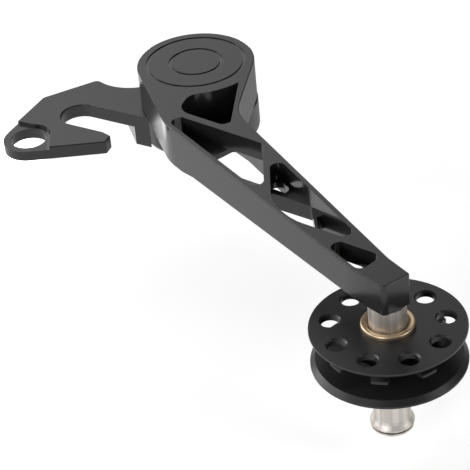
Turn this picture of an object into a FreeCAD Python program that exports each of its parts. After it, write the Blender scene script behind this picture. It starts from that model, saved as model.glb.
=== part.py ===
# Chain tensioner for a folding bicycle.
# Millimetres. The origin lies on the axis of the axle eye, in the lower face of the bracket's plate.
# +Z runs along the axle and the swing pivot, and +X points from the axle eye to the pivot.
import FreeCAD, Part
import math
import os

# Bracket, a milled plate with an eye, a hook and a thick round boss
plate_thickness = 4.7
pivot_distance = 58.0          # axle eye to swing pivot
eye_radius = 6.0
eye_outer_radius = 8.4
ledge_depth = 1.1              # the eye's seat lies this far below the plate's top
ledge_radius = 7.2
ledge_cheek = (4.9, 4.2)       # corners at which the ledge opens outwards
ledge_foot = (6.9, -2.2)
hook_width = 12.6              # clear width of the open slot
hook_root = (18.6, 6.4)        # centre of the slot's round end
hook_angle = -45.0             # the way the slot opens
hook_depth = 13.0              # from the round end's centre to the tip
hook_toe = (22.9, -13.7)       # outer corners of the hook's tip
hook_tip = (25.2, -10.6)
hook_round = 1.0
back_corner = (9.3, 22.5)
shoulder_corner = (29.1, 26.7)
head_radius = 19.3             # of the swing arm, which turns on the boss
boss_overhang = 0.2            # the boss is this much larger than the head
boss_radius = head_radius + boss_overhang
boss_drop = 6.4                # the boss stands this far below the plate
boss_step = 35.0               # distance from the eye at which the boss begins
boss_edge_round = 2.0
waist_radius = 15.0            # concave sweep between the shoulder and the boss
waist_from_eye = 43.5          # its centre, measured along X
corner_round = 2.0
edge_break = 0.4               # rounding of the outer edges

# Swing arm: a round head, a neck and a lattice beam that tapers to the idler's end
arm_length = 137.0             # swing pivot to idler shaft
arm_angle = -82.0              # the beam's direction at rest, measured from +X
head_height = 14.0
head_roof = 3.2
head_groove_radii = (8.0, 15.6)
head_groove_width = 0.9
head_groove_depth = 0.35
left_neck = (31.5, -23.6)      # corners of the outline, along and across the arm
left_neck_round = 26.0
left_bend_round = 60.0
right_bend_round = 7.0
left_bend = (arm_length - 4.7, -7.0)
left_end = (arm_length + 5.8, -3.7)
right_end = (arm_length + 3.7, 5.7)
right_bend = (arm_length - 6.0, 4.0)
right_neck = (36.5, -1.2)
right_neck_round = 20.0
left_end_round = 1.6
right_end_round = 0.8
end_thickness = 10.0
root_thickness = 12.6
head_flat_end = 38.0           # the head's full height ends here
root_station = 46.0            # the beam's own taper starts here
end_seat = arm_length - 8.0    # the flat seat round the idler shaft starts here
rail = 1.7                     # thickness of the two long rails, seen from above
thin_rail = 1.05               # the left rail beside the last two windows
flank = ((23.8, 4.6), (41.3, -5.25))    # inner face of the neck's right side
end_wall = ((arm_length - 7.2, 1.4), (arm_length - 4.1, -6.0))
barrel_radius = 20.85          # outside of the spring housing, inside the first window
first_window = (18.0, 41.3)    # where the windows start and end along the arm
first_cheek = ((19.4, -10.6), (23.6, -14.8))    # slanting end of the first one
first_back = ((19.6, -7.1), (20.3, -5.2))       # the housing's wall beside that end
second_window = 30.3
fourth_window = arm_length - 20.0
upper_depth = 6.3              # height of the upper webs; the lower webs fill the rest
beam_drawn = 83.0              # the webs are drawn for a beam this long and stretch with it
upper_webs = (                 # middle line and thickness of each web
    ((28.1, -17.1), (58.0, -0.25), 2.6),
    ((59.8, -1.5), (77.0, -8.9), 1.9),
    ((101.0, -12.25), (125.5, 2.1), 2.3),
)
lower_webs = (
    ((56.5, -16.6), (87.5, 0.8), 2.0),
    ((88.2, 0.5), (112.2, -8.0), 1.0),
)
window_round = 1.5
cheek_round = 6.0
back_round = 5.0
neck_floor = 1.8               # the neck is closed below by a floor this thick
neck_floor_end = ((38.3, -9.4), (36.4, -2.9))   # line at which that floor ends
long_round = 20.0              # the third window's left side is one long curve
shelf_thickness = 2.0          # a floor in the third window, level with the lower webs' tops
shelf_hole_radius = 2.5
shelf_hole = (73.3, 75.1, -4.1)         # its two centres along the arm, and their place across

# Swing pivot
running_clearance = 0.05
press_clearance = 0.01
face_gap = 0.02
washer_thickness = 0.5
shoulder_radius = 5.0
thread_radius = 4.0
thread_length = 9.0
bolt_head_radius = 8.0
bolt_head_height = 3.3
bolt_socket = 6.0              # across the flats
bolt_socket_depth = 2.2
bush_wall = 1.0
bush_flange_radius = 7.6
bush_flange = 0.5
counterbore_radius = 9.2
counterbore_depth = 5.0
plain_washer_thickness = 1.0
plain_washer_radius = 8.6
hub_radius = 7.9
spring_space_radius = 12.2
spring_wire = 1.0              # radius of the wire
spring_angle = 60.0            # direction of both legs at rest
spring_radius = 10.4           # from the axis to the middle of the wire
spring_turns = 3
spring_pitch = 2.5
spring_hole_radius = 1.25
spring_hole_depth = 2.0
thrust_inner_radius = 17.3
thrust_outer_radius = 18.9
swing_travel = 75.0            # degrees
stop_pin_radius = 1.5
stop_circle = 15.2
stop_pin_sunk = 4.0
stop_pin_proud = 4.0
stop_groove_depth = 5.0
stop_groove_side = 0.15
stop_end_gap = 0.3
stop_angle = 180.0

# Idler shaft
shaft_radius = 5.5
shaft_length = 43.9
spigot_radius = 3.0
spigot_length = 8.0
collar_profile = (             # radius and height above the free end
    (5.7, 0.0),
    (6.2, 0.5),
    (6.2, 1.1),
    (5.8, 1.3),
    (5.8, 1.9),
    (6.5, 1.9),
    (6.5, 2.4),
    (6.2, 3.0),
    (5.8, 3.7),
)
collar_height = 4.6

# Chain pulley
pulley_drop = 7.9              # from the arm's underside to the pulley's top face at rest
pulley_width = 12.0
flange_radius = 22.5
flange_thickness = 2.0
flange_rim = 0.6               # the flange's thickness at its edge
flange_bevel = 1.4             # radial width of the flange's inner bevel
flange_holes = 9
flange_hole_radius = 2.7
flange_hole_circle = 16.6
flange_hole_chamfer = 0.5
flange_hole_angle = 31.5
chain_pitch = 12.7
teeth = 8
roller_seat_radius = 3.95
tooth_thickness = 2.1
tooth_tip_radius = 18.8
tooth_tip_width = 3.5
tooth_tip_thickness = 0.9
tooth_taper = 3.0              # radial length over which a tooth thins towards its tip
tooth_angle = -117.0
wheel_hub_radius = 11.5
wheel_spigot_radius = 7.5
idler_bush_wall = 1.25
idler_rim_radius = 7.8
idler_rim = 1.3
idler_rim_round = 0.5
idler_rim_chamfer = 0.9
rim_gap = 0.1

# Heights that follow from the sizes above
head_bottom = plate_thickness + washer_thickness
head_top = head_bottom + head_height
end_bottom = head_top - end_thickness
root_bottom = head_top - root_thickness
boss_bottom = -boss_drop
counterbore_roof = boss_bottom + counterbore_depth
bush_radius = shoulder_radius + running_clearance + bush_wall
bolt_seat = counterbore_roof - bush_flange - plain_washer_thickness - face_gap
roof_bottom = head_top - head_roof
pulley_top = end_bottom - pulley_drop
pulley_bottom = pulley_top - pulley_width
idler_bush_radius = shaft_radius + running_clearance + idler_bush_wall
idler_bush_bottom = pulley_bottom - rim_gap - idler_rim
pivot = FreeCAD.Vector(pivot_distance, 0, 0)
up = FreeCAD.Vector(0, 0, 1)


def polar(radius, degrees, z=0.0):
    a = math.radians(degrees)
    return FreeCAD.Vector(radius * math.cos(a), radius * math.sin(a), z)


def cylinder(radius, bottom, top, place=FreeCAD.Vector()):
    return Part.makeCylinder(radius, top - bottom, place + up * bottom)


def ring(inner, outer, bottom, top):
    return cylinder(outer, bottom, top).cut(cylinder(inner, bottom - 1, top + 1))


def turned(profile):
    """Solid of revolution about Z from (radius, height) points."""
    points = [FreeCAD.Vector(r, 0, z) for r, z in profile]
    face = Part.Face(Part.makePolygon(points + points[:1]))
    return face.revolve(FreeCAD.Vector(), up, 360)


def corner_arc(before, here, after, radius):
    """Start, middle and end of the arc that rounds a corner; all three coincide for radius 0."""
    back = (before - here).normalize()
    ahead = (after - here).normalize()
    half = back.getAngle(ahead) / 2
    reach = radius / math.tan(half)
    inward = (back + ahead).normalize()
    middle = here + inward * (radius / math.sin(half) - radius)
    return here + back * reach, middle, here + ahead * reach


def fitted(corners):
    """Shrinks roundings that would run into each other on a side that is too short for both."""
    points = [FreeCAD.Vector(x, y, 0) for x, y, _ in corners]
    following = points[1:] + points[:1]
    reach = []
    for i, (_, _, radius) in enumerate(corners):
        half = (points[i - 1] - points[i]).getAngle(following[i] - points[i]) / 2
        reach.append(radius / math.tan(half))
    room = []
    for i, (here, after) in enumerate(zip(points, following)):
        wanted = reach[i] + reach[(i + 1) % len(reach)]
        room.append(here.distanceToPoint(after) / max(wanted, 1e-6))
    return [
        (x, y, radius * min(1.0, room[i - 1], room[i]))
        for i, (x, y, radius) in enumerate(corners)
    ]


def prism(corners, bottom, top):
    """Upright solid over a closed outline of (x, y, rounding radius) corners."""
    points = [FreeCAD.Vector(x, y, bottom) for x, y, _ in corners]
    following = points[1:] + points[:1]
    arcs = [
        corner_arc(points[i - 1], points[i], following[i], corners[i][2])
        for i in range(len(corners))
    ]
    edges = []
    for (start, middle, stop), after in zip(arcs, arcs[1:] + arcs[:1]):
        if start.distanceToPoint(stop) > 1e-6:
            edges.append(Part.Arc(start, middle, stop).toShape())
        if stop.distanceToPoint(after[0]) > 1e-6:
            edges.append(Part.makeLine(stop, after[0]))
    return Part.Face(Part.Wire(edges)).extrude(up * (top - bottom))


def tangent_point(corner, radius, side):
    """Where the line from a corner touches a circle about the origin; side is 1 or -1."""
    angle = math.atan2(corner[1], corner[0]) + side * math.acos(radius / math.hypot(*corner))
    return radius * math.cos(angle), radius * math.sin(angle)


def shifted(p, q, distance):
    """The line through p and q, moved to its left by a distance."""
    length = math.hypot(q[0] - p[0], q[1] - p[1])
    nx = -(q[1] - p[1]) / length * distance
    ny = (q[0] - p[0]) / length * distance
    return (p[0] + nx, p[1] + ny), (q[0] + nx, q[1] + ny)


def crossing(first, second, rounding=0.0):
    """Corner where two lines meet, each given by two points."""
    p, q = first
    r, s = second
    d1 = (q[0] - p[0], q[1] - p[1])
    d2 = (s[0] - r[0], s[1] - r[1])
    k = ((r[0] - p[0]) * d2[1] - (r[1] - p[1]) * d2[0]) / (d1[0] * d2[1] - d1[1] * d2[0])
    return p[0] + k * d1[0], p[1] + k * d1[1], rounding


def across(station):
    """The line square to the arm at a station along it."""
    return (station, 0.0), (station, 1.0)


def circles_at(shape, radius, height):
    """The round edges of a turned part that have this radius and lie at this height."""
    found = []
    for edge in shape.Edges:
        if not isinstance(edge.Curve, Part.Circle):
            continue
        if abs(edge.Curve.Radius - radius) < 1e-3 and abs(edge.Curve.Center.z - height) < 1e-3:
            found.append(edge)
    return found


def flat_edges(shape):
    """Edges that lie in a level plane: the rims of an upright prism."""
    return [edge for edge in shape.Edges if edge.BoundBox.ZLength < 1e-3]


def waist_centre():
    """The concave sweep touches the boss from outside."""
    reach = boss_radius + waist_radius
    side = waist_from_eye - pivot_distance
    return FreeCAD.Vector(waist_from_eye, math.sqrt(reach * reach - side * side), 0)


def slot_corners():
    """The open slot: the hook's inner edge, the round end and the far edge up to the boss."""
    half = hook_width / 2
    along = polar(1, hook_angle)
    side = polar(half, hook_angle + 90)
    root = FreeCAD.Vector(*hook_root, 0)
    tip = root + along * hook_depth - side
    near = root - along * half - side
    far = root - along * half + side
    mouth = root + along * 2 * hook_depth + side        # inside the boss
    return [
        (tip.x, tip.y, hook_round),
        (near.x, near.y, half),
        (far.x, far.y, half),
        (mouth.x, mouth.y, 0),
    ]


def plate_outline(bottom, top):
    """The bracket's outline without its round holes."""
    waist = waist_centre()
    beyond = crossing((back_corner, shoulder_corner), across(shoulder_corner[0] + 4))
    body = prism(
        [
            (*tangent_point(hook_toe, eye_outer_radius, -1), 0),
            (*hook_toe, hook_round),
            (*hook_tip, hook_round / 2),
            *slot_corners(),
            (pivot_distance, 0, 0),
            (waist.x, waist.y - waist_radius, 0),
            beyond,
            (*back_corner, corner_round),
            (*tangent_point(back_corner, eye_outer_radius, 1), 0),
        ],
        bottom,
        top,
    )
    body = body.cut(cylinder(waist_radius, bottom - 1, top + 1, waist))
    shoulder = FreeCAD.Vector(*shoulder_corner, (bottom + top) / 2)
    nearest = min(body.Edges, key=lambda edge: edge.CenterOfMass.distanceToPoint(shoulder))
    body = body.makeFillet(corner_round, [nearest])
    body = body.fuse([cylinder(eye_outer_radius, bottom, top), cylinder(boss_radius, bottom, top, pivot)])
    return body.removeSplitter()


def ledge_cutter():
    """The lowered seat round the eye: a round spot face that opens outwards on two sides."""
    floor = plate_thickness - ledge_depth
    far = 3 * eye_outer_radius
    corners = [
        (ledge_cheek[0] - far, ledge_cheek[1] + far, 0),
        (*ledge_cheek, 0),
        (*ledge_foot, 0),
        (ledge_foot[0] - far / 4, ledge_foot[1] - far, 0),
        (-far, -far, 0),
    ]
    spot = cylinder(ledge_radius, floor, plate_thickness + 1)
    return spot.fuse(prism(corners, floor, plate_thickness + 1))


def boss():
    """The thick round boss with its rounded lower edge, and the block beside it."""
    middle = plate_thickness / 2
    disc = cylinder(boss_radius, boss_bottom, middle, pivot)
    rounded = disc.makeFillet(boss_edge_round, circles_at(disc, boss_radius, boss_bottom))
    size = pivot_distance - boss_step
    keep = Part.makeBox(size, 4 * size, middle - boss_bottom,
                        FreeCAD.Vector(boss_step, -2 * size, boss_bottom))
    block = plate_outline(boss_bottom, middle).common(keep)
    return block.cut(disc).fuse(rounded)


def hook_bracket():
    plate = plate_outline(0, plate_thickness)
    plate = plate.makeFillet(edge_break, flat_edges(plate))
    bracket = plate.fuse(boss())
    low = boss_bottom - 1
    high = plate_thickness + 1
    cutters = [
        cylinder(eye_radius, low, high),
        ledge_cutter(),
        cylinder(bush_radius + press_clearance, low, high, pivot),
        cylinder(counterbore_radius, low, counterbore_roof, pivot),
        stop_pin(press_clearance),
        spring_hole(plate_thickness - spring_hole_depth, high),
    ]
    return bracket.cut(cutters).removeSplitter()


def placed_on_arm(shape):
    """Turns a shape drawn along +X about the swing pivot to the arm's place at rest."""
    shape.rotate(FreeCAD.Vector(), up, arm_angle)
    shape.translate(pivot)
    return shape


def beam(bottom, top):
    return prism(
        [
            (*tangent_point(left_neck, head_radius, -1), 0),
            (*left_neck, left_neck_round),
            (*left_bend, left_bend_round),
            (*left_end, left_end_round),
            (*right_end, right_end_round),
            (*right_bend, right_bend_round),
            (*right_neck, right_neck_round),
            (*tangent_point(right_neck, head_radius, 1), 0),
        ],
        bottom,
        top,
    )


def underside():
    """Everything below the arm's stepped and tapering lower face."""
    width = 4 * head_radius
    low = head_bottom - 5
    far = left_end[0] + 5
    profile = [
        (head_flat_end, low),
        (head_flat_end, head_bottom),
        (root_station, root_bottom),
        (end_seat, end_bottom),
        (far, end_bottom),
        (far, low),
    ]
    points = [FreeCAD.Vector(x, -width / 2, z) for x, z in profile]
    return Part.Face(Part.makePolygon(points + points[:1])).extrude(FreeCAD.Vector(0, width, 0))


def stretched(station):
    """Moves a place along the beam as the beam gets longer or shorter; the neck keeps its own."""
    beyond = max(station - root_station, 0.0)
    return station + beyond * ((end_seat - root_station) / beam_drawn - 1.0)


def web_side(web, side):
    """One face of a web; side 1 is to the left of its direction, -1 to the right."""
    start, stop, thickness = web
    ends = [(stretched(station), place) for station, place in (start, stop)]
    return shifted(*ends, side * thickness / 2)


def rail_lines():
    """Inner faces of the two long rails, and of the neck's left side."""
    left = shifted(left_neck, left_bend, rail)
    right = shifted(right_neck, right_bend, -rail)
    neck = shifted(tangent_point(left_neck, head_radius, -1), left_neck, rail)
    return left, right, neck


def upper_windows(bottom, top):
    """The four openings in the arm's upper face, between the three upper webs."""
    left, right, _ = rail_lines()
    web_a, web_b, web_c = upper_webs
    start, stop = first_window
    thin = shifted(left_neck, left_bend, thin_rail)
    small = window_round * 0.7
    wide = window_round * 1.6
    first = [
        (start, first_back[1][1], 0),
        (*first_back[1], 0),
        crossing(first_back, first_cheek, back_round),
        crossing(first_cheek, web_side(web_a, 1), cheek_round),
        crossing(across(stop), web_side(web_a, 1), wide),
        crossing(across(stop), flank, small),
        crossing(across(start), flank, window_round),
    ]
    second = [
        crossing(across(second_window), left, wide),
        crossing(left, web_side(web_b, -1), wide),
        crossing(web_side(web_a, -1), web_side(web_b, -1), window_round),
        crossing(web_side(web_a, -1), across(second_window), small),
    ]
    third = [
        crossing(right, web_side(web_b, 1), wide),
        crossing(thin, web_side(web_b, 1), long_round),
        crossing(thin, web_side(web_c, 1), long_round),
        crossing(right, web_side(web_c, 1), wide),
    ]
    fourth = [
        crossing(across(fourth_window), thin, wide),
        crossing(thin, end_wall, wide),
        crossing(end_wall, web_side(web_c, -1), wide),
        crossing(web_side(web_c, -1), across(fourth_window), window_round),
    ]
    windows = [prism(fitted(corners), bottom, top) for corners in (first, second, third, fourth)]
    windows[0] = windows[0].cut(cylinder(barrel_radius, bottom - 1, top + 1))
    return windows


def shelf(top):
    """The floor in the head's end of the third upper window, pierced by an oblong hole."""
    _, web_b, web_c = upper_webs
    left = (left_neck, left_bend)
    right = (right_neck, right_bend)
    corners = [
        crossing(right, web_side(web_b, -1)),
        crossing(left, web_side(web_b, -1)),
        crossing(left, web_side(web_c, -1)),
        crossing(right, web_side(web_c, -1)),
    ]
    floor = prism(corners, top - shelf_thickness, top)
    first, second = (stretched(station) for station in shelf_hole[:2])
    side = shelf_hole[2]
    r = shelf_hole_radius
    slot = prism(
        [
            (first - r, side - r, r),
            (second + r, side - r, r),
            (second + r, side + r, r),
            (first - r, side + r, r),
        ],
        top - 2 * shelf_thickness,
        top + 1,
    )
    return floor.cut(slot)


def lower_windows(bottom, top):
    """The three openings in the arm's lower face; their webs pass under the upper ones."""
    left, right, neck = rail_lines()
    web_d, web_e = lower_webs
    small = window_round / 2
    bay = [
        crossing(across(first_window[0]), neck, window_round),
        crossing(neck, left, left_neck_round),
        crossing(left, web_side(web_d, 1), small),
        crossing(right, web_side(web_d, 1), small),
        crossing(right, flank, window_round),
        crossing(across(first_window[0]), flank, window_round),
    ]
    first = [
        crossing(neck_floor_end, left, window_round),
        crossing(left, web_side(web_d, 1), small),
        crossing(right, web_side(web_d, 1), small),
        crossing(right, flank, window_round),
        crossing(neck_floor_end, flank, small),
    ]
    second = [
        crossing(left, web_side(web_d, -1), small),
        crossing(left, web_side(web_e, -1), small),
        crossing(web_side(web_d, -1), web_side(web_e, -1), small),
    ]
    third = [
        crossing(right, web_side(web_e, 1), small),
        crossing(left, web_side(web_e, 1), small),
        crossing(left, end_wall, window_round),
        crossing(right, end_wall, window_round),
    ]
    windows = [prism(corners, bottom, top) for corners in (first, second, third)]
    closed = prism(bay, head_bottom + neck_floor, top)
    closed = closed.cut(cylinder(barrel_radius, bottom - 1, top + 1))
    windows[0] = windows[0].fuse(closed).cut(shelf(top))
    return windows


def stop_groove():
    """Arc groove in the head's underside, in which the bracket's stop pin travels."""
    half = stop_pin_radius + stop_groove_side
    slack = math.degrees((stop_end_gap - stop_groove_side) / stop_circle)
    sweep = swing_travel + 2 * slack
    finish = stop_angle - arm_angle + slack
    start = finish - sweep
    height = stop_groove_depth + 1
    base = up * (head_bottom - 1)
    outer = Part.makeCylinder(stop_circle + half, height, base, up, sweep)
    inner = Part.makeCylinder(stop_circle - half, height, base, up, 360)
    groove = outer.cut(inner)
    groove.rotate(FreeCAD.Vector(), up, start)
    ends = [
        cylinder(half, head_bottom - 1, head_bottom + stop_groove_depth, polar(stop_circle, angle))
        for angle in (start, finish)
    ]
    return groove.fuse(ends)


def swing_arm():
    blank = beam(head_bottom, head_top).fuse(cylinder(head_radius, head_bottom, head_top))
    blank = blank.removeSplitter()
    blank = blank.makeFillet(edge_break, flat_edges(blank))
    middle = head_top - upper_depth
    thread_roof = head_bottom + thread_length + 1
    spigot_place = FreeCAD.Vector(arm_length, 0, 0)
    spring_leg_place = polar(spring_radius, spring_angle - arm_angle)
    cutters = [
        underside(),
        *upper_windows(middle, head_top + 1),
        *lower_windows(head_bottom - 1, middle),
        ring(hub_radius, spring_space_radius, head_bottom - 1, roof_bottom),
        cylinder(thread_radius + press_clearance, head_bottom - 1, thread_roof),
        stop_groove(),
        cylinder(spring_hole_radius, roof_bottom - 1, roof_bottom + spring_hole_depth, spring_leg_place),
        cylinder(spigot_radius + press_clearance, end_bottom - 1, end_bottom + spigot_length + 0.5,
                 spigot_place),
    ]
    for radius in head_groove_radii:
        floor = head_top - head_groove_depth
        cutters.append(ring(radius, radius + head_groove_width, floor, head_top + 1))
    arm = blank
    for cutter in cutters:
        arm = arm.cut(cutter)
    return placed_on_arm(arm.removeSplitter())


def spring_hole(bottom, top):
    return cylinder(spring_hole_radius, bottom, top, pivot + polar(spring_radius, spring_angle))


def torsion_spring():
    """A wire spring with a straight leg at each end, parallel to its axis."""
    height = spring_turns * spring_pitch
    low = (head_bottom + roof_bottom - height) / 2
    high = low + height
    start = FreeCAD.Vector(spring_radius, 0, 0)
    tangent = FreeCAD.Vector(0, 2 * math.pi * spring_radius, spring_pitch)
    section = Part.Wire([Part.makeCircle(spring_wire, start, tangent)])
    helix = Part.makeHelix(spring_pitch, height, spring_radius)
    spring = Part.Wire(helix.Edges).makePipeShell([section], True, True)
    spring.translate(up * low)
    short = 0.2
    legs = (
        cylinder(spring_wire, plate_thickness - spring_hole_depth + short, low, start),
        cylinder(spring_wire, high, roof_bottom + spring_hole_depth - short, start),
    )
    knees = (Part.makeSphere(spring_wire, start + up * low), Part.makeSphere(spring_wire, start + up * high))
    spring = spring.fuse([*legs, *knees])
    spring.rotate(FreeCAD.Vector(), up, spring_angle)
    spring.translate(pivot)
    return spring.removeSplitter()


def stop_pin(clearance=0.0):
    """A dowel pressed into the boss; its upper end stands in the arm's groove."""
    place = pivot + polar(stop_circle, stop_angle)
    low = plate_thickness - stop_pin_sunk
    return cylinder(stop_pin_radius + clearance, low, plate_thickness + stop_pin_proud, place)


def pivot_bush(seat, direction):
    """Flanged bush; direction 1 stands its flange on top of the seat, -1 hangs it below."""
    length = (plate_thickness - counterbore_roof) / 2 - face_gap
    rim = sorted((seat, seat + direction * bush_flange))
    sleeve = sorted((seat, seat - direction * length))
    bore = shoulder_radius + running_clearance
    bush = ring(bore, bush_flange_radius, *rim).fuse(ring(bore, bush_radius, *sleeve))
    bush.translate(pivot)
    return bush.removeSplitter()


def pivot_bolt():
    """Shoulder bolt with a hexagon socket, screwed into the arm's head from below."""
    bottom = bolt_seat - bolt_head_height
    head = cylinder(bolt_head_radius, bottom, bolt_seat)
    head = head.makeChamfer(edge_break, circles_at(head, bolt_head_radius, bottom))
    shoulder = cylinder(shoulder_radius, bolt_seat, head_bottom)
    thread = cylinder(thread_radius, head_bottom, head_bottom + thread_length)
    corners = [polar(bolt_socket / math.sqrt(3), 60 * i) for i in range(6)]
    socket = prism([(p.x, p.y, 0) for p in corners], bottom - 1, bottom + bolt_socket_depth)
    bolt = head.fuse([shoulder, thread]).cut(socket)
    bolt.translate(pivot)
    return bolt.removeSplitter()


def bolt_washer():
    inner = shoulder_radius + 2 * running_clearance
    washer = ring(inner, plain_washer_radius, bolt_seat, bolt_seat + plain_washer_thickness)
    washer.translate(pivot)
    return washer


def thrust_washer():
    washer = ring(thrust_inner_radius, thrust_outer_radius, plate_thickness, head_bottom)
    washer.translate(pivot)
    return washer


def at_idler(shape):
    shape.translate(FreeCAD.Vector(arm_length, 0, 0))
    return placed_on_arm(shape)


def idler_shaft():
    """Polished shaft with a spigot in the arm and a grooved, flared collar at its free end."""
    bottom = end_bottom - shaft_length
    return at_idler(turned([
        (0, bottom),
        *[(radius, bottom + height) for radius, height in collar_profile],
        (shaft_radius, bottom + collar_height),
        (shaft_radius, end_bottom),
        (spigot_radius, end_bottom),
        (spigot_radius, end_bottom + spigot_length),
        (0, end_bottom + spigot_length),
    ]))


def idler_bush():
    """Bronze bush that slides on the shaft; its dished rim holds the pulley from above."""
    bore = shaft_radius + running_clearance
    rim_bottom = pulley_top + rim_gap
    top = rim_bottom + idler_rim
    sleeve = ring(bore, idler_bush_radius, idler_bush_bottom, top)
    bush = sleeve.fuse(ring(bore, idler_rim_radius, rim_bottom, top)).removeSplitter()
    bush = bush.makeFillet(idler_rim_round, circles_at(bush, idler_rim_radius, top))
    return at_idler(bush.makeChamfer(idler_rim_chamfer, circles_at(bush, bore, top)))


def bush_ring():
    """Bronze ring pressed on the bush's lower end."""
    shape = ring(idler_bush_radius + press_clearance, idler_rim_radius,
                 idler_bush_bottom, idler_bush_bottom + idler_rim)
    rim = circles_at(shape, idler_rim_radius, idler_bush_bottom)
    return at_idler(shape.makeFillet(idler_rim_round, rim))


def flange():
    """Flange of the pulley with its outer face at height 0 and the bevelled inner face below."""
    inner = wheel_spigot_radius + press_clearance
    return turned([
        (inner, 0),
        (flange_radius, 0),
        (flange_radius, -flange_rim),
        (flange_radius - flange_bevel, -flange_thickness),
        (inner, -flange_thickness),
    ])


def drilled(disc):
    """Cuts the ring of chamfered holes into the upper flange."""
    over = 0.5
    drill = cylinder(flange_hole_radius, -flange_thickness - 1, 1)
    mouth = Part.makeCone(flange_hole_radius, flange_hole_radius + flange_hole_chamfer + over,
                          flange_hole_chamfer + over, up * -flange_hole_chamfer)
    tool = drill.fuse(mouth)
    for i in range(flange_holes):
        angle = 360 / flange_holes * i + flange_hole_angle - arm_angle
        hole = tool.translated(polar(flange_hole_circle, angle))
        disc = disc.cut(hole)
    return disc


def upper_flange():
    return at_idler(drilled(flange()).translated(up * pulley_top))


def lower_flange():
    upside_down = flange().mirror(FreeCAD.Vector(), up)
    return at_idler(upside_down.translated(up * pulley_bottom))


def tooth_gap(bottom, top):
    """Room for one chain roller: a round seat that opens outwards to the tooth tips."""
    half_step = math.pi / teeth
    pitch_radius = chain_pitch / 2 / math.sin(half_step)
    tip_half = tooth_tip_radius * math.sin(half_step) - tooth_tip_width / 2
    slope = (tip_half - roller_seat_radius) / (tooth_tip_radius - pitch_radius)
    far = tooth_tip_radius + 3
    far_half = tip_half + slope * (far - tooth_tip_radius)
    mouth = prism(
        [
            (pitch_radius, -roller_seat_radius, 0),
            (far, -far_half, 0),
            (far, far_half, 0),
            (pitch_radius, roller_seat_radius, 0),
        ],
        bottom,
        top,
    )
    return mouth.fuse(cylinder(roller_seat_radius, bottom, top, polar(pitch_radius, 0)))


def toothed_wheel():
    """Eight tapered teeth on a hub; a short spigot on each side centres a flange."""
    middle = (pulley_top + pulley_bottom) / 2
    half = tooth_thickness / 2
    tip = tooth_tip_thickness / 2
    wheel = turned([
        (0, middle - half),
        (tooth_tip_radius - tooth_taper, middle - half),
        (tooth_tip_radius, middle - tip),
        (tooth_tip_radius, middle + tip),
        (tooth_tip_radius - tooth_taper, middle + half),
        (0, middle + half),
    ])
    for i in range(teeth):
        gap = tooth_gap(middle - half - 1, middle + half + 1)
        gap.rotate(FreeCAD.Vector(), up, 360 / teeth * (i + 0.5) + tooth_angle - arm_angle)
        wheel = wheel.cut(gap)
    hub = cylinder(wheel_hub_radius, pulley_bottom + flange_thickness, pulley_top - flange_thickness)
    spigots = cylinder(wheel_spigot_radius, pulley_bottom, pulley_top)
    bore = cylinder(idler_bush_radius + running_clearance, pulley_bottom - 1, pulley_top + 1)
    return at_idler(wheel.fuse([hub, spigots]).cut(bore).removeSplitter())


nodes = {
    "hook_bracket": hook_bracket(),
    "upper_pivot_bush": pivot_bush(plate_thickness, 1),
    "lower_pivot_bush": pivot_bush(counterbore_roof, -1),
    "stop_pin": stop_pin(),
    "torsion_spring": torsion_spring(),
    "thrust_washer": thrust_washer(),
    "swing_arm": swing_arm(),
    "pivot_bolt": pivot_bolt(),
    "bolt_washer": bolt_washer(),
    "idler_shaft": idler_shaft(),
    "idler_bush": idler_bush(),
    "bush_ring": bush_ring(),
    "upper_flange": upper_flange(),
    "toothed_wheel": toothed_wheel(),
    "lower_flange": lower_flange(),
}
os.makedirs("parts", exist_ok=True)
for name, shape in nodes.items():
    shape.exportStep(f"parts/{name}.step")
    print(name, "solids", len(shape.Solids), "valid", shape.isValid(), "volume", round(shape.Volume, 1))
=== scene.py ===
# %% [markdown]
# # A chain tensioner for a folding bicycle
# The real part keeps a folding bicycle's chain tight. It is milled from aluminium and anodised
# black: a hooked bracket, a swing arm with a lattice cut through it, and a flanged pulley that turns
# and slides on a polished shaft. The solids loaded here already have all its edges and openings, so
# this lesson models none of them again and gives its time to finishes and light. The solids stay
# exactly where they are, and the box that they fill is measured before anything is added.

# %% Load the solids
import bmesh
import bpy
import math
from mathutils import Matrix, Vector


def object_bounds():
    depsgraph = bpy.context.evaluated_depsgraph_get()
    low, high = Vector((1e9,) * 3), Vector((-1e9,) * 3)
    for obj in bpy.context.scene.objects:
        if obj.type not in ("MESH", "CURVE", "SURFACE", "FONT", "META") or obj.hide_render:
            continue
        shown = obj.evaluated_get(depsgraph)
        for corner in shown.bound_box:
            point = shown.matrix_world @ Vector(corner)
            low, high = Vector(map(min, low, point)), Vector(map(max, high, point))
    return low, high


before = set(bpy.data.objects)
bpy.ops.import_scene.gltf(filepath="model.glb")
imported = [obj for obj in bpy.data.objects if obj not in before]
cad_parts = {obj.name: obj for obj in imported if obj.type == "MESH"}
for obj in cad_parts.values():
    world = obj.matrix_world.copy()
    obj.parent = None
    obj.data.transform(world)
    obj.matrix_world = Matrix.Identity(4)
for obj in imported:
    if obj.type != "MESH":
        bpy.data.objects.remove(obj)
cad_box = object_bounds()
print("nodes:", ", ".join(sorted(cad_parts)))

# %% [markdown]
# Pictures of a surface could be wrapped round the pieces, but that needs unwrapped meshes and blurs
# up close. Every finish here is procedural instead: a few shader nodes work it out from the object's
# own coordinates, in metres, so that it stays with a piece when the piece moves. Two helpers come
# first. One starts a material, and the other puts it on pieces.

# %% Materials and pieces
def new_material(name, metallic, color=None):
    """A material and its shader. The colour is left out where a texture gives it later."""
    material = bpy.data.materials.new(name)
    material.use_nodes = True
    shader = material.node_tree.nodes["Principled BSDF"]
    shader.inputs["Metallic"].default_value = metallic
    if color:
        shader.inputs["Base Color"].default_value = (*color, 1.0)
    return material, shader


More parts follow.
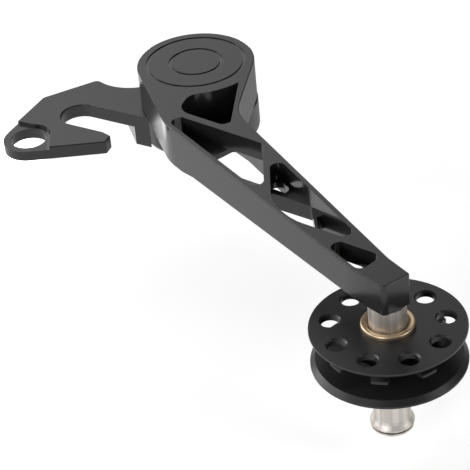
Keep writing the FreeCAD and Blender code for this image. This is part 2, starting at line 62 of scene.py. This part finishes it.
def paint(material, *names):
    for name in names:
        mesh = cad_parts[name].data
        mesh.materials.clear()
        mesh.materials.append(material)
        print(name, "<-", material.name)


print("pieces to finish:", len(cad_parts))

# %% [markdown]
# The arm and the bracket are blasted before they are anodised. That leaves a grain, finer than a
# pixel here, which spreads a lamp's reflection into a soft grey sheen. It could be modelled, at the
# cost of millions of faces that nobody sees one by one. A noise texture gives the same sheen: it
# varies the roughness a little and drives a very low bump.

# %% Grain of the black aluminium
def noise(material, scale, detail, stretch=(1.0, 1.0, 1.0)):
    """A noise texture with about so many specks to a metre, denser along a stretched axis."""
    nodes = material.node_tree.nodes
    links = material.node_tree.links
    place = nodes.new("ShaderNodeTexCoord")
    mapping = nodes.new("ShaderNodeMapping")
    mapping.inputs["Scale"].default_value = stretch
    texture = nodes.new("ShaderNodeTexNoise")
    texture.inputs["Scale"].default_value = scale
    texture.inputs["Detail"].default_value = detail
    links.new(place.outputs["Object"], mapping.inputs["Vector"])
    links.new(mapping.outputs["Vector"], texture.inputs["Vector"])
    return texture


def ramp(material, value, start, end, low=0.0, high=1.0, shape="LINEAR"):
    """Goes from low to high as the value goes from start to end."""
    node = material.node_tree.nodes.new("ShaderNodeMapRange")
    node.interpolation_type = shape
    node.inputs["From Min"].default_value = start
    node.inputs["From Max"].default_value = end
    node.inputs["To Min"].default_value = low
    node.inputs["To Max"].default_value = high
    material.node_tree.links.new(value, node.inputs["Value"])
    return node.outputs["Result"]


def spread(material, texture, low, high):
    """Maps a noise texture, which seldom leaves the range 0.3 to 0.7, to low to high."""
    return ramp(material, texture.outputs["Fac"], 0.3, 0.7, low, high)


def bump(material, shader, texture, strength, distance):
    node = material.node_tree.nodes.new("ShaderNodeBump")
    node.inputs["Strength"].default_value = strength
    node.inputs["Distance"].default_value = distance
    material.node_tree.links.new(texture.outputs["Fac"], node.inputs["Height"])
    material.node_tree.links.new(node.outputs["Normal"], shader.inputs["Normal"])


black, black_shader = new_material("black_anodised", metallic=0.0, color=(0.012, 0.012, 0.012))
black_shader.inputs["Specular IOR Level"].default_value = 0.45
specks_per_metre = 4000.0
grain = noise(black, specks_per_metre, detail=3.0)
grained = spread(black, grain, 0.36, 0.44)
bump(black, black_shader, grain, strength=0.05, distance=0.0001)
print("grain of about", 1000.0 / specks_per_metre, "mm")

# %% [markdown]
# Blasting hardly reaches the walls of the arm's windows. They keep the cutter's smooth finish and
# mirror each other, which makes the windows look deep. Their faces could be picked one by one, but
# an ambient occlusion node finds them by itself, because such a wall sees little of the open space
# round its own piece.

# %% Smooth walls inside the windows
def pocket_mask(material, reach):
    """0 in the open, 1 deep inside the piece's own pockets."""
    occlusion = material.node_tree.nodes.new("ShaderNodeAmbientOcclusion")
    occlusion.samples = 8
    occlusion.only_local = True
    occlusion.inputs["Distance"].default_value = reach
    return ramp(material, occlusion.outputs["AO"], 0.9, 0.7)


window_reach = 0.02
inside = pocket_mask(black, window_reach)
print("walls are looked for within", 1000.0 * window_reach, "mm")

# %% [markdown]
# The photograph shows three finishes on the outside. Level faces are grained, the arm's long flank
# mirrors the white table a little, and the flank on the other side of the head only glows softly.
# Nothing has to be sorted by hand here either: the direction in which a face looks, in the object's
# own coordinates, tells the three apart.

# %% Finish by direction
def facing(material, axis):
    """1 on faces that look along the axis, 0 on those that stand square to it or look back."""
    place = material.node_tree.nodes.new("ShaderNodeTexCoord")
    parts = material.node_tree.nodes.new("ShaderNodeSeparateXYZ")
    material.node_tree.links.new(place.outputs["Normal"], parts.inputs["Vector"])
    return ramp(material, parts.outputs[axis], 0.4, 0.9)


def between(material, factor, first, second):
    """Goes from the first value to the second as the factor goes from 0 to 1."""
    mix = material.node_tree.nodes.new("ShaderNodeMix")
    for socket, value in ((mix.inputs["A"], first), (mix.inputs["B"], second)):
        if isinstance(value, float):
            socket.default_value = value
        else:
            material.node_tree.links.new(value, socket)
    material.node_tree.links.new(factor, mix.inputs["Factor"])
    return mix.outputs["Result"]


mirroring_flank, glowing_flank, window_wall = 0.17, 0.48, 0.14
flanks = between(black, facing(black, "X"), mirroring_flank, glowing_flank)
outside = between(black, facing(black, "Z"), flanks, grained)
roughness = between(black, inside, outside, window_wall)
black.node_tree.links.new(roughness, black_shader.inputs["Roughness"])
paint(black, "hook_bracket", "swing_arm")

# %% [markdown]
# The pulley's two discs and its toothed wheel are turned on a lathe and then anodised in the same
# black. The cutter leaves them more even than blasting does, so a noise in the roughness is enough
# and there is no bump.

# %% Turned black of the pulley
def vary_roughness(material, shader, texture, low, high):
    material.node_tree.links.new(spread(material, texture, low, high), shader.inputs["Roughness"])


wheel_black, wheel_shader = new_material("turned_black", metallic=0.0, color=(0.012, 0.012, 0.013))
wheel_shader.inputs["Specular IOR Level"].default_value = 0.4
vary_roughness(wheel_black, wheel_shader, noise(wheel_black, 2500.0, detail=2.0), 0.34, 0.42)
paint(wheel_black, "upper_flange", "toothed_wheel", "lower_flange")

# %% [markdown]
# The shaft is ground, and then worn by the pulley that slides on it, so soft streaks of lighter and
# darker metal run along it. Painting them by hand would fit one shaft only. A noise texture that is
# dense across the shaft and slow along it draws them on any length. The collar's grooves get painted
# shade: there the mask of the windows serves again, with a shorter reach, and darkens the colour.

# %% Worn steel, with painted shade in the grooves
def blend_colors(material, factor, first, second):
    """Goes from the first colour to the second as the factor goes from 0 to 1."""
    mix = material.node_tree.nodes.new("ShaderNodeMix")
    mix.data_type = "RGBA"
    color_a, color_b, color_out = mix.inputs[6], mix.inputs[7], mix.outputs[2]
    for socket, color in ((color_a, first), (color_b, second)):
        if isinstance(color, tuple):
            socket.default_value = (*color, 1.0)
        else:
            material.node_tree.links.new(color, socket)
    material.node_tree.links.new(factor, mix.inputs["Factor"])
    return color_out


steel, steel_shader = new_material("polished_steel", metallic=1.0)
dark_steel, light_steel, groove_shade_color = (0.42, 0.385, 0.355), (0.72, 0.68, 0.635), (0.12, 0.11, 0.1)
streaks = noise(steel, 60.0, detail=3.0, stretch=(9.0, 9.0, 0.3))
worn = blend_colors(steel, spread(steel, streaks, 0.0, 1.0), dark_steel, light_steel)
# Painted shade: the colour turns near black where the collar's grooves see little open space.
groove_shaded = blend_colors(steel, pocket_mask(steel, reach=0.0015), worn, groove_shade_color)
steel.node_tree.links.new(groove_shaded, steel_shader.inputs["Base Color"])
vary_roughness(steel, steel_shader, streaks, 0.44, 0.58)
paint(steel, "idler_shaft", "pivot_bolt", "bolt_washer", "stop_pin")

# %% [markdown]
# The bushes are bronze. Turning leaves fine rings round them, so their noise changes quickly along
# the axis and slowly round it. The spring and most of the nylon washer sit out of sight inside the
# head. They get finishes of their own all the same, so that the part can be shown taken apart.

# %% Bronze, spring wire and nylon
bronze, bronze_shader = new_material("turned_bronze", metallic=1.0, color=(0.64, 0.49, 0.33))
rings = noise(bronze, 300.0, detail=2.0, stretch=(1.0, 1.0, 12.0))
vary_roughness(bronze, bronze_shader, rings, 0.36, 0.46)
paint(bronze, "idler_bush", "bush_ring", "upper_pivot_bush", "lower_pivot_bush")

wire, wire_shader = new_material("spring_wire", metallic=1.0, color=(0.28, 0.28, 0.3))
vary_roughness(wire, wire_shader, noise(wire, 500.0, detail=2.0), 0.3, 0.42)
paint(wire, "torsion_spring")

nylon, nylon_shader = new_material("black_nylon", metallic=0.0, color=(0.01, 0.01, 0.01))
vary_roughness(nylon, nylon_shader, noise(nylon, 900.0, detail=2.0), 0.45, 0.58)
paint(nylon, "thrust_washer")

# %% [markdown]
# The photograph shows the part on plain white. Lamps strong enough to turn grey paper white would
# turn the black part grey as well, so the paper glows a little by itself, and its glow fades out so
# slowly that no edge shows. A second patch, small and bright, can't be told from the white round it.
# The rounded corner of the arm's neck mirrors it, as the narrow band of light in the photograph.

# %% Glowing paper
def glow(material, centre, radius, edge, strength):
    """A round patch of light in the floor that fades out over a soft edge."""
    place = material.node_tree.nodes.new("ShaderNodeTexCoord")
    distance = material.node_tree.nodes.new("ShaderNodeVectorMath")
    distance.operation = "DISTANCE"
    distance.inputs[1].default_value = (*centre, floor_height)
    material.node_tree.links.new(place.outputs["Object"], distance.inputs[0])
    reached = distance.outputs["Value"]
    return ramp(material, reached, radius, radius + edge, strength, 0.0, "SMOOTHSTEP")


gap_under = 0.012
floor_height = cad_box[0][2] - gap_under
paper, paper_shader = new_material("paper", metallic=0.0, color=(0.7, 0.7, 0.7))
vary_roughness(paper, paper_shader, noise(paper, 3.0, detail=2.0), 0.85, 0.95)
table = glow(paper, (0.5, -0.1), radius=0.2, edge=1.0, strength=0.51)
spot = glow(paper, (-0.004, 0.074), radius=0.012, edge=0.008, strength=2.2)
total = paper.node_tree.nodes.new("ShaderNodeMath")
total.operation = "ADD"
paper.node_tree.links.new(table, total.inputs[0])
paper.node_tree.links.new(spot, total.inputs[1])
paper.node_tree.links.new(total.outputs["Value"], paper_shader.inputs["Emission Strength"])
paper_shader.inputs["Emission Color"].default_value = (1.0, 1.0, 1.0, 1.0)
print("floor at", round(floor_height, 4), "m")

# %% [markdown]
# The floor itself is one large square, a little under the shaft's end. Its place is put into the
# mesh and not into the object, so that the glow can be given in the part's own coordinates.

# %% Floor
half_side = 3.0
square = bmesh.new()
under_part = Matrix.Translation((0.0, 0.0, floor_height))
bmesh.ops.create_grid(square, x_segments=1, y_segments=1, size=half_side, matrix=under_part)
floor_mesh = bpy.data.meshes.new("floor")
square.to_mesh(floor_mesh)
square.free()
floor_mesh.materials.append(paper)
floor = bpy.data.objects.new("floor", floor_mesh)
bpy.context.collection.objects.link(floor)
print("floor of", len(floor_mesh.polygons), "face,", 2.0 * half_side, "m wide")

# %% [markdown]
# Seven softboxes stand round the part, and the world adds a faint even light. A picture of a studio
# could light the scene too, but its lamps couldn't be set one by one. Light simply adds up, so each
# lamp was first tried alone, and then the powers were chosen that together give the photograph's
# greys. The large lamp high on the left gives the level faces their even grey. The low ones draw
# the flanks, the pulley's rims and the shaft.

# %% Studio light
world = bpy.data.worlds.new("studio")
bpy.context.scene.world = world
world.use_nodes = True
background = world.node_tree.nodes["Background"]
background.inputs["Color"].default_value = (1.0, 1.0, 1.0, 1.0)
background.inputs["Strength"].default_value = 0.12
middle_of_part = (0.06, -0.06, 0.0)


def softbox(name, place, size, power):
    """A rectangular lamp that looks at the part."""
    light = bpy.data.lights.new(name, "AREA")
    light.shape = "RECTANGLE"
    light.size, light.size_y = size
    light.energy = power
    holder = bpy.data.objects.new(name, light)
    bpy.context.collection.objects.link(holder)
    aim = Vector(middle_of_part) - Vector(place)
    holder.matrix_world = Matrix.Translation(place) @ aim.to_track_quat("-Z", "Y").to_matrix().to_4x4()
    print(name, power, "W from", round(aim.length, 2), "m")


softbox("high_left", (-0.25, 0.65, 0.75), size=(0.9, 0.6), power=3.4)
softbox("ceiling", (0.06, -0.06, 1.0), size=(0.8, 0.8), power=1.1)
softbox("behind", (0.25, 0.8, 0.5), size=(0.5, 0.4), power=0.85)
softbox("behind_left", (-0.75, 0.65, 0.4), size=(0.5, 0.4), power=4.6)
softbox("left", (-0.9, 0.0, 0.45), size=(0.5, 0.4), power=3.1)
softbox("front_left", (-0.6, -0.7, 0.35), size=(0.4, 0.4), power=4.2)
softbox("front_right", (0.75, -0.65, 0.35), size=(0.4, 0.4), power=2.6)

# %% [markdown]
# The camera stands a good half metre away, above and in front of the pulley, with a long lens. Its
# place could be found by trying, but here it was worked out: the pulley's circles, the shaft and the
# arm's edges were matched with the photograph's. The lean to one side is the photograph's own.

# %% Camera
image_side = 470
focal_in_pixels = 2011.6
elevation = 34.2
lean = -5.56
turn = -12.31
camera_place = (-0.05799, -0.56609, 0.34192)
camera_data = bpy.data.cameras.new("camera")
camera_data.sensor_width = 36.0
camera_data.lens = focal_in_pixels / image_side * camera_data.sensor_width
camera = bpy.data.objects.new("camera", camera_data)
bpy.context.collection.objects.link(camera)
camera.matrix_world = (
    Matrix.Translation(camera_place)
    @ Matrix.Rotation(math.radians(turn), 4, "Z")
    @ Matrix.Rotation(math.radians(90.0 - elevation), 4, "X")
    @ Matrix.Rotation(math.radians(lean), 4, "Z")
)
bpy.context.scene.camera = camera
bpy.context.scene.view_settings.view_transform = "Standard"
print("lens", round(camera_data.lens, 1), "mm")
